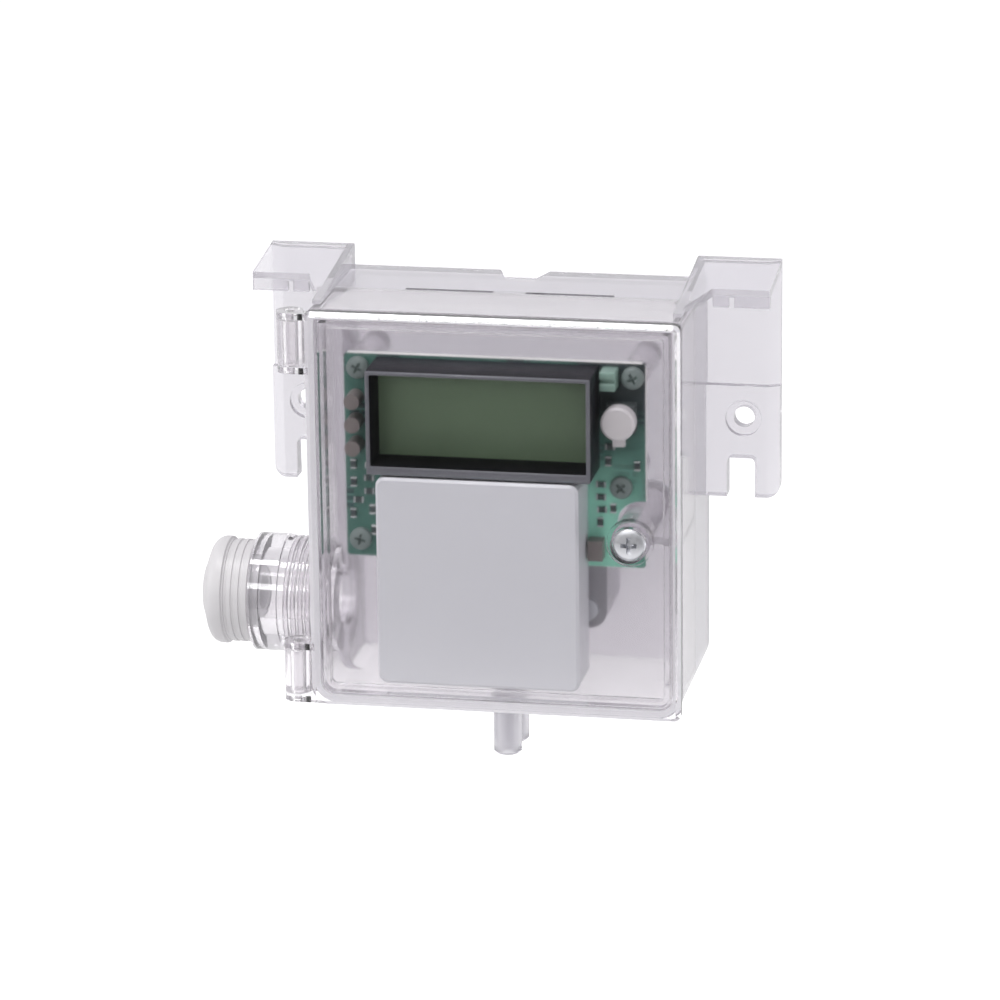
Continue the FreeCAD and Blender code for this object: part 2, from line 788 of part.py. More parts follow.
def make_pcb_chips():
    middle = (cover_x0 + cover_x1) / 2
    z0 = block_z1 + chip_rise
    chips = []
    for i in range(chip_count):
        x = middle + (i - (chip_count - 1) / 2) * chip_spacing
        chips.append(box(x - chip_size / 2, x + chip_size / 2, y_board - chip_thickness, y_board,
                         z0, z0 + chip_size))
    return Part.makeCompound(chips)


def make_pcb_capacitors():
    """Row of round capacitors down the left edge, and a film capacitor at the lower right."""
    x = board_x0 + capacitor_inset
    parts = []
    for i in range(capacitor_count):
        z = board_z1 - capacitor_drop - i * capacitor_spacing
        parts.append(rod_y(capacitor_radius, x, z, y_board - capacitor_height, y_board))
    width, height, depth = film_capacitor
    x0 = cover_x1 + cover_gap
    z0 = board_z0 + film_capacitor_rise
    parts.append(box(x0, x0 + width, y_board - depth, y_board, z0, z0 + height))
    return Part.makeCompound(parts)


def make_chamber(y0, y1, port_y):
    """Half of the pressure cell between y0 and y1, with its own hose nipple."""
    corners = rectangle(cell_middle - cell_size / 2, cell_middle + cell_size / 2,
                        cell_z - cell_size / 2, cell_z + cell_size / 2)
    body = prism(corners, "XZ", y0, y1, cell_round)
    stem = rod_z(stem_port_radius, cell_middle, port_y, z_bottom, cell_z - cell_cavity)
    z_end = z_bottom - port_reach
    tip = rod_z(port_radius, cell_middle, port_y, z_end, z_bottom + overlap)
    end_edges = [edge for edge in tip.Edges if edge.BoundBox.ZMax < z_end + 1e-4]
    tip = tip.makeChamfer(port_chamfer, end_edges)
    bore = rod_z(port_bore, cell_middle, port_y, z_end - 1, cell_z - cell_cavity / 2)
    return joined(body, stem, tip), bore


def make_front_chamber():
    body, bore = make_chamber(y_cell_front, y_cell_mid, front_port_y)
    cavity = rod_y(cell_cavity, cell_middle, cell_z, y_cell_mid - cell_cavity_depth, y_cell_mid + 1)
    y_floor = y_cell_mid - cell_cavity_depth
    post = box(cell_middle - post_size / 2, cell_middle + post_size / 2,
               y_floor - overlap, y_floor + beam_post,
               beam_post_z - post_size / 2, beam_post_z + post_size / 2)
    cuts = []
    for x, z in cell_screws:
        cuts.append(rod_y(cell_screw_core + cell_screw_gap, x, z, y_cell_front - 1, y_cell_mid + 1))
    return joined(body.cut([cavity, bore]), post).cut(cuts)


def make_rear_chamber():
    y_face = y_cell_mid
    body, bore = make_chamber(y_face, y_rear_in, rear_port_y)
    y_membrane = y_face + diaphragm_edge
    seat = rod_y(diaphragm_radius + diaphragm_fit, cell_middle, cell_z, y_face - 1, y_membrane)
    cavity = rod_y(cell_cavity, cell_middle, cell_z, y_face - 1, y_membrane + cell_cavity_depth)
    cuts = [seat, cavity, bore]
    for x, z in cell_screws:
        cuts.append(rod_y(cell_screw_core + cell_screw_gap, x, z, y_face - 1,
                          y_cell_front + cell_screw_depth))
    return body.cut(cuts)


def make_diaphragm():
    return rod_y(diaphragm_radius, cell_middle, cell_z, y_cell_mid, y_cell_mid + diaphragm_edge)


def make_diaphragm_disc():
    y_beam = y_cell_mid - cell_cavity_depth + beam_post + beam_thickness
    disc = rod_y(disc_radius, cell_middle, cell_z, y_cell_mid - disc_thickness, y_cell_mid)
    pin = rod_y(disc_pin_radius, cell_middle, cell_z, y_beam + disc_pin_gap, y_cell_mid - disc_thickness / 2)
    return joined(disc, pin)


def make_sensing_beam():
    y0 = y_cell_mid - cell_cavity_depth + beam_post
    z1 = beam_post_z + post_size / 2
    return box(cell_middle - beam_width / 2, cell_middle + beam_width / 2, y0, y0 + beam_thickness,
               z1 - beam_length, z1)


def make_chamber_screws():
    screws = []
    for x, z in cell_screws:
        head = rod_y(cell_screw_head, x, z, y_cell_front - cell_screw_head_height, y_cell_front)
        shank = rod_y(cell_screw_core, x, z, y_cell_front - cell_screw_head_height / 2,
                      y_cell_front + cell_screw_depth)
        screws.append(joined(head, shank))
    return Part.makeCompound(screws)


def make_cell_pins():
    half = cell_pin_side / 2
    return Part.makeCompound([
        box(x - half, x + half, y_board + cell_pin_short, y_cell_front, z - half, z + half)
        for x, z in cell_pins])


sub_parts = {
    "mounting_bracket": make_mounting_bracket,
    "housing": make_housing,
    "front_door": make_front_door,
    "door_seal": make_door_seal,
    "hinge_pins": make_hinge_pins,
    "door_screw": make_door_screw,
    "gland_nut": make_gland_nut,
    "gland_seal": make_gland_seal,
    "gland_clamp_ring": make_gland_clamp_ring,
    "main_pcb": make_main_pcb,
    "pcb_screws": make_pcb_screws,
    "lcd_shroud": make_lcd_shroud,
    "lcd_panel": make_lcd_panel,
    "lcd_contact_strips": make_lcd_contact_strips,
    "terminal_cover": make_terminal_cover,
    "terminal_block": make_terminal_block,
    "terminal_screws": make_terminal_screws,
    "zero_button": make_zero_button,
    "zero_switch": make_zero_switch,
    "output_jumper": make_output_jumper,
    "pcb_chips": make_pcb_chips,
    "pcb_capacitors": make_pcb_capacitors,
    "front_chamber": make_front_chamber,
    "rear_chamber": make_rear_chamber,
    "diaphragm": make_diaphragm,
    "diaphragm_disc": make_diaphragm_disc,
    "sensing_beam": make_sensing_beam,
    "chamber_screws": make_chamber_screws,
    "cell_pins": make_cell_pins,
}

os.makedirs("parts", exist_ok=True)
for name, make in sub_parts.items():
    shape = make()
    shape.exportStep("parts/%s.step" % name)
    print(name, "solids", len(shape.Solids), "valid", shape.isValid(), "volume", round(shape.Volume, 1))
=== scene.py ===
# %% [markdown]
# # A pressure transmitter in a clear case
# The real object is a small box for a wall: a clear case with a hinged clear door, a display and a grey cover behind
# the door, a cable gland on the left and two hose nipples underneath. All of it could be drawn in Blender, but the
# imported model gives every solid its place and size already, so this lesson only has to dress it: light, finishes, and
# the pieces that are too fine for the solids. The first cell loads the imported model.

# %% Load the imported model
import math

import bmesh
import bpy
from mathutils import Matrix, Vector


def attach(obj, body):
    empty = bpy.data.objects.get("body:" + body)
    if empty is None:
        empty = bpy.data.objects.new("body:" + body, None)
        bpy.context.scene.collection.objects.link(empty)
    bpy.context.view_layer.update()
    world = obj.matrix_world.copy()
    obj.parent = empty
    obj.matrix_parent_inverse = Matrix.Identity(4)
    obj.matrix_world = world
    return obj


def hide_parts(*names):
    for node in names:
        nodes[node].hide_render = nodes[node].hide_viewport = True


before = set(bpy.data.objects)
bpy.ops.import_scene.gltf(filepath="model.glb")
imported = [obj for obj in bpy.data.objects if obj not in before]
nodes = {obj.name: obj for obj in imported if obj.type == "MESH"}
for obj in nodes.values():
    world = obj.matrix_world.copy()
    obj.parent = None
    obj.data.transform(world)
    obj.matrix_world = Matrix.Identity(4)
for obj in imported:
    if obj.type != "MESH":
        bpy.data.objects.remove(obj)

MM = 0.001
scene = bpy.context.scene
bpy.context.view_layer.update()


# %% [markdown]
# ## The camera
# The photograph was taken from a little to the right and above, with a long lens, so upright edges stay nearly
# parallel. A camera could be aimed with a constraint, but three angles and a place say the same thing in plain
# numbers. The small roll is the tilt of the photograph itself.

# %% Camera
azimuth, elevation, roll = 0.191, 0.300, -0.012
eye, look_at = Vector((0.2050, -1.0864, 0.3171)), Vector((0, -0.02, -0.013))
side = Vector((math.cos(azimuth), math.sin(azimuth), 0))
back = Vector((math.sin(azimuth) * math.cos(elevation), -math.cos(azimuth) * math.cos(elevation),
               math.sin(elevation)))
over = back.cross(side)
turned_side = side * math.cos(roll) + over * math.sin(roll)
turned_over = over * math.cos(roll) - side * math.sin(roll)


def placed(name, data):
    """A new object with this data, in the scene."""
    thing = bpy.data.objects.new(name, data)
    scene.collection.objects.link(thing)
    return thing


lens = bpy.data.cameras.new("photo_camera")
lens.sensor_width, lens.lens = 36, 190.58
lens.shift_x, lens.shift_y = -0.00556, 0.01407
lens.clip_start, lens.clip_end = 0.05, 50
camera = placed("photo_camera", lens)
camera.matrix_world = Matrix.Translation(eye) @ Matrix((turned_side, turned_over, back)).transposed().to_4x4()
scene.camera = camera
scene.view_settings.view_transform = "Standard"
print("camera", round((eye - look_at).length, 3), "m from the object")

# %% [markdown]
# ## Two helpers for all node trees
# Colours are written as sRGB hex values, as a colour picker shows them, and Blender's sockets want linear light,
# so one function turns them. A second function adds any node: its settings by name, and its inputs as plain
# values or as sockets to link from. A finish then reads from top to bottom like a recipe.

# %% Helpers for node trees
def linear(colour):
    """The linear RGBA value of an sRGB hex colour."""
    parts = [int(colour[i:i + 2], 16) / 255 for i in (1, 3, 5)]
    return (*[c / 12.92 if c <= 0.04045 else ((c + 0.055) / 1.055) ** 2.4 for c in parts], 1.0)


def add(tree, kind, inputs=None, **settings):
    """One new node. An input is a value, or a socket to link from."""
    made = tree.nodes.new(kind)
    for name, value in settings.items():
        setattr(made, name, value)
    for key, value in (inputs or {}).items():
        if isinstance(value, bpy.types.NodeSocket):
            tree.links.new(value, made.inputs[key])
        else:
            made.inputs[key].default_value = value
    return made


print("grey of hex 808080 in linear light:", round(linear("#808080")[0], 3))

# %% [markdown]
# ## The start and the end of a finish
# Every finish here starts from an empty tree and from a point's place on the object, so that its pattern keeps its
# real size and moves with the part. It could start from a UV map, but solids from CAD have none. It ends at the
# material's output, with a filling as well where light goes into the stuff.

# %% Helpers for finishes
def new_finish(name):
    """An empty material, its tree, and the socket of its place on the object in metres."""
    material = bpy.data.materials.new(name)
    material.use_nodes = True
    material.node_tree.nodes.clear()
    place = add(material.node_tree, "ShaderNodeTexCoord").outputs["Object"]
    return material, material.node_tree, place


def show(tree, shader, filling=None):
    """Makes this shader the surface of the material, and the filling what its inside is full of."""
    end = add(tree, "ShaderNodeOutputMaterial", {"Surface": shader.outputs[0]})
    if filling:
        tree.links.new(filling.outputs[0], end.inputs["Volume"])


print("finishes start from Object coordinates, in metres")

# %% [markdown]
# ## The floor
# The photograph is a cut-out on white. The floor is a large pale sheet of paper well below the object. A white floor
# could be had with more light, but that would bleach the object too. So what the camera sees of the paper, directly
# or through clear plastic, is lifted to white by a glow of its own, and its mirror image by half as much. It still
# darkens under the object.

# %% Floor
floor_height, floor_lift, mirror_share = -0.19, 0.5, 0.5
left, right, front, rear = -6.0, 6.0, -0.44, 8.0
floor_corners = [(x, y, floor_height) for x, y in ((left, front), (right, front), (right, rear), (left, rear))]
floor_mesh = bpy.data.meshes.new("floor")
floor_mesh.from_pydata(floor_corners, [], [(0, 1, 2, 3)])
floor = placed("floor", floor_mesh)

# Matt paper: no highlight, only a faint cloud of fibres, drawn coarser than the real ones so that it shows at all.
paper, tree, place = new_finish("white_backdrop_paper")
rays = add(tree, "ShaderNodeLightPath")
seen = add(tree, "ShaderNodeMath", {0: rays.outputs["Is Camera Ray"], 1: rays.outputs["Is Transmission Ray"]},
           operation="MAXIMUM")
mirrored = add(tree, "ShaderNodeMath", {0: rays.outputs["Is Glossy Ray"], 1: mirror_share}, operation="MULTIPLY")
shown = add(tree, "ShaderNodeMath", {0: seen.outputs[0], 1: mirrored.outputs[0]}, operation="MAXIMUM")
lift = add(tree, "ShaderNodeMath", {0: shown.outputs[0], 1: floor_lift}, operation="MULTIPLY")
fibre = add(tree, "ShaderNodeTexNoise", {"Vector": place, "Scale": 1 / (4 * MM), "Detail": 3.0})
pale = add(tree, "ShaderNodeMix", {"Factor": fibre.outputs[0], 6: linear("#e6e6e6"), 7: linear("#eaeaea")},
           data_type="RGBA")
sheet = add(tree, "ShaderNodeBsdfDiffuse", {"Color": pale.outputs[2]})
glow = add(tree, "ShaderNodeEmission", {"Color": linear("#ffffff"), "Strength": lift.outputs[0]})
show(tree, add(tree, "ShaderNodeAddShader", {0: sheet.outputs[0], 1: glow.outputs[0]}))
floor.data.materials.append(paper)

# %% [markdown]
# ## The sky
# The sky is the studio round the table. An even white sky would be simpler, but clear plastic only shows its edges
# where something darker is bent into them. So light that goes through the plastic finds white behind and above the
# object, and grey towards the camera, while the camera itself sees white.

# %% Sky
white_behind, grey_ahead, white_above, soft_level = 0.98, 0.03, 0.95, 0.66
front_to_back, low_to_high = (-0.75, 0.1), (-0.1, 0.7)
sky = bpy.data.worlds.new("studio")
scene.world = sky
sky.use_nodes = True
tree = sky.node_tree
tree.nodes.clear()
rays = add(tree, "ShaderNodeLightPath")
way = add(tree, "ShaderNodeSeparateXYZ", {0: add(tree, "ShaderNodeTexCoord").outputs["Generated"]})
behind = add(tree, "ShaderNodeMapRange", {
    "Value": way.outputs["Y"], "From Min": front_to_back[0], "From Max": front_to_back[1],
    "To Min": 0.0, "To Max": white_behind})
above = add(tree, "ShaderNodeMapRange", {
    "Value": way.outputs["Z"], "From Min": low_to_high[0], "From Max": low_to_high[1],
    "To Min": grey_ahead, "To Max": white_above})
bent = add(tree, "ShaderNodeMath", {0: behind.outputs[0], 1: above.outputs[0]}, operation="MAXIMUM")
level = add(tree, "ShaderNodeMix", {"Factor": rays.outputs["Is Diffuse Ray"], 2: bent.outputs[0], 3: soft_level})
sky_light = add(tree, "ShaderNodeBackground", {"Color": linear("#f8f8fa"), "Strength": level.outputs[0]})
white = add(tree, "ShaderNodeBackground", {"Color": linear("#ffffff"), "Strength": 1.0})
both = add(tree, "ShaderNodeMixShader", {0: rays.outputs["Is Camera Ray"], 1: sky_light.outputs[0],
                                         2: white.outputs[0]})
add(tree, "ShaderNodeOutputWorld", {"Surface": both.outputs[0]})
print("sky: level", white_behind, "behind and", grey_ahead, "ahead, for light that is bent")

# %% [markdown]
# ## The lamps
# A large soft box above gives the white line along the top of the door, and three smaller ones fill in from the front,
# the left and the lower right. Sun or point lamps would be quicker to set, but a lamp's own shape is what glossy
# plastic shows, so these are rectangles. Clear walls stand one behind the other here, so light may bend many times.

# %% Lamps
lamp_aim = Vector((0, -0.02, -0.01))


def soft_box(name, spot, width, height, watts):
    """A rectangular lamp that looks at the middle of the object. Its place and sizes are in metres."""
    light = bpy.data.lights.new(name, "AREA")
    light.shape, light.size, light.size_y, light.energy = "RECTANGLE", width, height, watts
    turn = (Vector(spot) - lamp_aim).to_track_quat("Z", "Y").to_matrix().to_4x4()
    placed(name, light).matrix_world = Matrix.Translation(spot) @ turn


soft_box("key_light", (-0.17, -0.33, 0.92), 0.6, 0.16, 5.0)
soft_box("front_light", (-0.29, -0.96, 0.43), 0.2, 0.2, 1.2)
soft_box("left_light", (-0.9, -0.35, 0.35), 0.3, 0.6, 2.0)
soft_box("right_light", (0.62, -0.17, -0.11), 0.16, 0.14, 0.35)
bounces = scene.cycles
bounces.max_bounces = bounces.transmission_bounces = 24
bounces.transparent_max_bounces = 32

# %% [markdown]
# ## A finish that changes with its place
# One moulding can be polished here and satin there, because its mould was. That could be a second material on some
# faces, but a solid's mesh is left as it is. A box in the object's own millimetres says where instead.

# %% Finish by place
def inside(tree, place, low, high, soft=0.02):
    """A socket that is 1 in a box and 0 outside of it: corners and the width of the change are in mm."""
    centre = [(a + b) / 2 * MM for a, b in zip(low, high)]
    half = [(b - a) / 2 * MM for a, b in zip(low, high)]
    off = add(tree, "ShaderNodeVectorMath", {0: place, 1: centre}, operation="SUBTRACT")
    off = add(tree, "ShaderNodeVectorMath", {0: off.outputs[0]}, operation="ABSOLUTE")
    near = add(tree, "ShaderNodeMapRange", {"Vector": off.outputs[0], 7: half, 8: [h + soft * MM for h in half],
                                            9: (1, 1, 1), 10: (0, 0, 0)}, data_type="FLOAT_VECTOR")
    axes = add(tree, "ShaderNodeSeparateXYZ", {0: near.outputs["Vector"]})
    flat = add(tree, "ShaderNodeMath", {0: axes.outputs["X"], 1: axes.outputs["Y"]}, operation="MULTIPLY")
    return add(tree, "ShaderNodeMath", {0: flat.outputs[0], 1: axes.outputs["Z"]}, operation="MULTIPLY").outputs[0]


spigot_box = (-60, -40, -60), (-40.3, 0, -20)
# Painted shade: the rear walls of the bracket's catch windows, where the narrow gap keeps light out, are darkened in
# its colour.
painted_window_shade_box = (-22.6, -18.2, 28), (22.6, -18.0, 30.1)
print("polished cable entry in mm:", spigot_box, "dark catch windows in mm:", painted_window_shade_box)

# %% [markdown]
# ## Clear moulded polycarbonate
# Bracket, case and door are injection moulded from clear polycarbonate, with an index of refraction of 1.58. To
# the eye it is glassy but never optically flat: slow flow ripples bend what is behind it, its skin is a little satin,
# and thick walls look faintly grey. Plain transparency would lose the bright and dark lines along the edges, so the
# surface really refracts. Light from lamps goes straight through, so that the inside is lit as in the photo.

# %% Clear plastic
polished_roughness, gap_shade, depth_shade, depth_density = 0.06, "#77757a", "#d9d7db", 38.0


def clear_polycarbonate(name, tint, shade, clearness, ripple_mm, roughness, polished=None, painted_shade_box=None):
    """Clear plastic: tint is what one wall leaves of white, shade what it leaves of lamp light. Boxes in mm say where
    the mould is polished, and where shade is painted into the colour, as a narrow gap keeps the light out."""
    material, tree, place = new_finish(name)
    flow = add(tree, "ShaderNodeMapping", {"Vector": place, "Scale": (1.0, 1.0, 0.25)})
    ripple = add(tree, "ShaderNodeTexNoise", {"Vector": flow.outputs[0], "Scale": 1 / (ripple_mm * MM),
                                              "Detail": 2.0})
    gloss = add(tree, "ShaderNodeMapRange", {"Value": ripple.outputs[0], "To Min": roughness * 0.7,
                                             "To Max": roughness * 1.3})
    bump = add(tree, "ShaderNodeBump", {"Strength": 0.02, "Distance": 0.2 * MM, "Height": ripple.outputs[0]})
    clear = add(tree, "ShaderNodeBsdfPrincipled", {
        "Base Color": linear(tint), "Roughness": gloss.outputs[0], "IOR": 1.58, "Transmission Weight": clearness,
        "Normal": bump.outputs[0]})
    if polished:
        smooth = add(tree, "ShaderNodeMix", {"Factor": inside(tree, place, *polished), 2: gloss.outputs[0],
                                             3: polished_roughness})
        tree.links.new(smooth.outputs[0], clear.inputs["Roughness"])
    # Painted shade: inside this box the colour turns dark, as a narrow gap in shade looks.
    if painted_shade_box:
        shaded = add(tree, "ShaderNodeMix", {"Factor": inside(tree, place, *painted_shade_box), 6: linear(tint),
                                             7: linear(gap_shade)}, data_type="RGBA")
        tree.links.new(shaded.outputs[2], clear.inputs["Base Color"])
    through = add(tree, "ShaderNodeBsdfTransparent", {"Color": linear(shade)})
    rays = add(tree, "ShaderNodeLightPath")
    lamp_rays = add(tree, "ShaderNodeMath", {0: rays.outputs["Is Shadow Ray"], 1: rays.outputs["Is Diffuse Ray"]},
                    operation="MAXIMUM")
    depth = add(tree, "ShaderNodeVolumeAbsorption", {"Color": linear(depth_shade), "Density": depth_density})
    show(tree, add(tree, "ShaderNodeMixShader", {0: lamp_rays.outputs[0], 1: clear.outputs[0],
                                                 2: through.outputs[0]}), depth)
    return material


# The case has a fine satin skin, so what is behind it is a little soft, and its cable entry is polished bright.
clear_case = clear_polycarbonate("clear_polycarbonate_case", "#f8f6f8", "#f9f8f9", 0.88, 14, 0.15, spigot_box)
# The door is the clearest wall: the display behind it stays sharp.
clear_door = clear_polycarbonate("clear_polycarbonate_door", "#fdfcfd", "#fafafa", 1.0, 20, 0.1)
# The bracket is greyer and a little milky, and shade is painted into the rear walls of the catch windows in its front
# edge.
clear_bracket = clear_polycarbonate("clear_polycarbonate_bracket", "#ebe9ed", "#f4f3f5", 0.81, 12, 0.15,
                                    painted_shade_box=painted_window_shade_box)
# The thread is cut bright in the mould, so each turn has its own glint.
clear_thread = clear_polycarbonate("polished_polycarbonate_thread", "#faf8fa", "#f9f8f9", 0.95, 14, 0.08)
print("clear finishes made: case, door, bracket, thread")

# %% [markdown]
# ## Solid plastics and rubber
# The cover, the shroud, the nut and the button are moulded in coloured plastics. Each mould leaves its own skin: a
# spark-eroded mould gives a fine satin grain, a polished one a gloss. Each could have a tree of its own, but they
# differ only in numbers, so one recipe serves them all: a colour that varies slightly, and a grain drawn as a bump.
# The real grain is a tenth of a millimetre or finer, and is drawn coarser so that it shows in the picture.

# %% Recipe for moulded plastics
def moulded_plastic(name, colour, shade, grain_mm, depth, roughness, softness=0.0, shine=0.5, cloud_mm=18):
    """A coloured plastic: shade is its colour where the skin is thinner, softness how much light goes into it."""
    material, tree, place = new_finish(name)
    grain = add(tree, "ShaderNodeTexNoise", {"Vector": place, "Scale": 1 / (grain_mm * MM), "Detail": 4.0})
    cloud = add(tree, "ShaderNodeTexNoise", {"Vector": place, "Scale": 1 / (cloud_mm * MM), "Detail": 2.0})
    mixed = add(tree, "ShaderNodeMix", {"Factor": cloud.outputs[0], 6: linear(colour), 7: linear(shade)},
                data_type="RGBA")
    gloss = add(tree, "ShaderNodeMapRange", {"Value": cloud.outputs[0], "To Min": roughness - 0.05,
                                             "To Max": roughness + 0.07})
    bump = add(tree, "ShaderNodeBump", {"Strength": depth, "Distance": 0.1 * MM, "Height": grain.outputs[0]})
    show(tree, add(tree, "ShaderNodeBsdfPrincipled", {
        "Base Color": mixed.outputs[2], "Roughness": gloss.outputs[0], "IOR": 1.5, "Normal": bump.outputs[0],
        "Specular IOR Level": shine, "Subsurface Weight": softness, "Subsurface Scale": 1.5 * MM,
        "Subsurface Radius": (1.0, 1.0, 1.0)}))
    return material


# ABS from a spark-eroded mould: an even light grey with a broad, soft highlight.
cover_abs = moulded_plastic("satin_grey_abs", "#dadadf", "#d6d6db", 0.6, 0.08, 0.32)
print("first moulded finish:", cover_abs.name)

# %% [markdown]
# ## The plastics of the shroud, the nut and the button
# The shroud is one black moulding with three skins: its outside is satin, its inside is matt so that nothing shines
# into the display, with painted shade making it darker than the outside, and its front rim is a lighter grey, a painted
# sheen. Three materials on one piece are simpler here than a mask, because the faces of a tube tell by their direction
# which skin they have.

# %% Shroud, nut and button
# Matt black ABS with painted shade: the inside is darker than the outside, as a recess in shade is.
shroud_inside_painted_shade = moulded_plastic("matt_black_abs_painted_shade", "#08090b", "#0c0d10", 0.8, 0.05, 0.7, shine=0.05)
# Satin black ABS: the outside takes a weak, wide highlight.
shroud_abs = moulded_plastic("satin_black_abs", "#1f2025", "#1a1b20", 0.8, 0.05, 0.4, shine=0.15)
# Black ABS with a painted sheen: the front rim is a thin light grey line, as if it caught the light.
shroud_rim_painted_sheen = moulded_plastic("black_abs_painted_sheen", "#707177", "#66676d", 0.8, 0.05, 0.3)
# Polyamide from a fine-turned mould: a pale warm grey with a dull shine.
gland_polyamide = moulded_plastic("pale_grey_polyamide", "#d0cecf", "#c9c6c9", 0.7, 0.15, 0.4)
# Acetal: white, slippery and slightly see-through, so its edges glow.
button_acetal = moulded_plastic("white_acetal", "#d9d5d6", "#d2ced0", 0.5, 0.08, 0.35, 0.3)
print("moulded finishes for shroud, nut and button")

# %% [markdown]
# ## The plastics on the board
# The board's own parts are small, so they mostly read as colours: dark epoxy bodies, brown sleeves, a pale green
# jumper and green terminals. The same recipe gives each its grain, because a flat colour would look like paint when
# the door is open and the camera comes near.

# %% Plastics on the board
# Nitrile rubber, moulded: black and dull, with a coarse skin.
black_nitrile = moulded_plastic("black_nitrile_rubber", "#17181a", "#1f2022", 0.5, 0.25, 0.6)
# Green polyamide, moulded: satin, as terminal blocks are.
terminal_polyamide = moulded_plastic("green_polyamide", "#2f8a5c", "#2a7d53", 0.5, 0.12, 0.4)
# Nylon, moulded: pale green, with light going a little way in.
jumper_nylon = moulded_plastic("pale_green_nylon", "#8ba89c", "#829f93", 0.5, 0.1, 0.4, 0.2)
# PVC sleeve, shrunk on: grey brown with a soft shine.
capacitor_sleeve = moulded_plastic("brown_pvc_sleeve", "#827a78", "#797270", 0.6, 0.1, 0.4)
# Epoxy, pressed round a chip: dark grey and dusty, almost without shine.
part_epoxy = moulded_plastic("black_moulding_epoxy", "#3d4546", "#444c4c", 0.4, 0.2, 0.55)
print("materials so far, the solids' own among them:", len(bpy.data.materials))

# %% [markdown]
# ## Milky plastics
# The pressure cell with its nipples is moulded in a greyish, half clear plastic, the seals are white and grey
# silicone, and the board's screws are nylon. They let light through but blur it. A scattering volume would do that
# truly, but slowly, so their surface is rough and their transmission only partial.

# %% Milky plastics
def milky_plastic(name, colour, shade, clearness, roughness, cloud_mm=9):
    """Half clear plastic: clearness is the share of light that goes through."""
    material, tree, place = new_finish(name)
    cloud = add(tree, "ShaderNodeTexNoise", {"Vector": place, "Scale": 1 / (cloud_mm * MM), "Detail": 3.0})
    mixed = add(tree, "ShaderNodeMix", {"Factor": cloud.outputs[0], 6: linear(colour), 7: linear(shade)},
                data_type="RGBA")
    bump = add(tree, "ShaderNodeBump", {"Strength": 0.1, "Distance": 0.2 * MM, "Height": cloud.outputs[0]})
    body = add(tree, "ShaderNodeBsdfPrincipled", {
        "Base Color": mixed.outputs[2], "Roughness": roughness, "IOR": 1.45, "Transmission Weight": clearness,
        "Normal": bump.outputs[0]})
    through = add(tree, "ShaderNodeBsdfTransparent", {"Color": linear(shade)})
    rays = add(tree, "ShaderNodeLightPath")
    show(tree, add(tree, "ShaderNodeMixShader", {0: rays.outputs["Is Shadow Ray"], 1: body.outputs[0],
                                                 2: through.outputs[0]}))
    return material


# Half clear moulding: the nipples look like frosted glass, brighter at their edges.
nipple_plastic = milky_plastic("half_clear_grey_plastic", "#eae8ec", "#e0dfe3", 0.6, 0.2)
# White silicone, moulded: a soft white line with no hard highlight.
seal_silicone = milky_plastic("white_silicone", "#f4f3f5", "#eeedf0", 0.3, 0.3)
# Grey silicone, moulded: the same, as pale as the nut round it.
gland_silicone = milky_plastic("pale_grey_silicone", "#d6d5d8", "#cdccd0", 0.3, 0.3)
# Nylon, moulded without pigment, milky: the grey green of the board seen through it is painted into its colour.
screw_nylon_painted_green = milky_plastic("natural_nylon_painted_board_green", "#93a09d", "#8b9895", 0.3, 0.3)
print("milky finishes: nipples, seals, board screws")

# %% [markdown]
# ## Metals
# Screws are zinc plated steel, the pins brass and the disc aluminium. A metal's colour is its reflection, so each
# one is a metallic surface with its own tint. Tool marks could be modelled, but they are far finer than the picture:
# a noise that varies the roughness, drawn coarser than real so that it shows, breaks the reflection up in their place.

# %% Metals
def tooled_metal(name, colour, roughness, scratch_mm):
    """Bare or plated metal with fine tool marks."""
    material, tree, place = new_finish(name)
    marks = add(tree, "ShaderNodeTexNoise", {"Vector": place, "Scale": 1 / (scratch_mm * MM), "Detail": 5.0})
    gloss = add(tree, "ShaderNodeMapRange", {"Value": marks.outputs[0], "To Min": roughness - 0.08,
                                             "To Max": roughness + 0.12})
    bump = add(tree, "ShaderNodeBump", {"Strength": 0.08, "Distance": 0.05 * MM, "Height": marks.outputs[0]})
    show(tree, add(tree, "ShaderNodeBsdfPrincipled", {"Base Color": linear(colour), "Metallic": 1.0,
                                                      "Roughness": gloss.outputs[0], "Normal": bump.outputs[0]}))
    return material


# Zinc plating on pressed steel: a cool, slightly cloudy mirror.
plated_steel = tooled_metal("zinc_plated_steel", "#dfe0e4", 0.4, 0.6)
# Drawn brass: a bright warm yellow.
pin_brass = tooled_metal("bright_brass", "#d9b866", 0.22, 0.5)
# Turned aluminium: pale, with a soft sheen.
disc_aluminium = tooled_metal("turned_aluminium", "#d2d3d6", 0.3, 0.8)
# Tin that has flowed in the oven: silvery, with rounded glints.
tinned = tooled_metal("reflowed_tin", "#d6d7d8", 0.3, 0.4)
print("metals: steel, brass, aluminium, tin")

# %% [markdown]
# ## The tracks of the circuit board
# The board is glass fibre with a green solder mask over copper tracks. The mask is a thin lacquer, so a track shows
# as a paler green line under gloss. Drawing each track would take long for little. Tracks run square to the edges,
# so a stretched brick pattern, cut to thin lines at the real spacing, gives them, and square cells the filled areas.

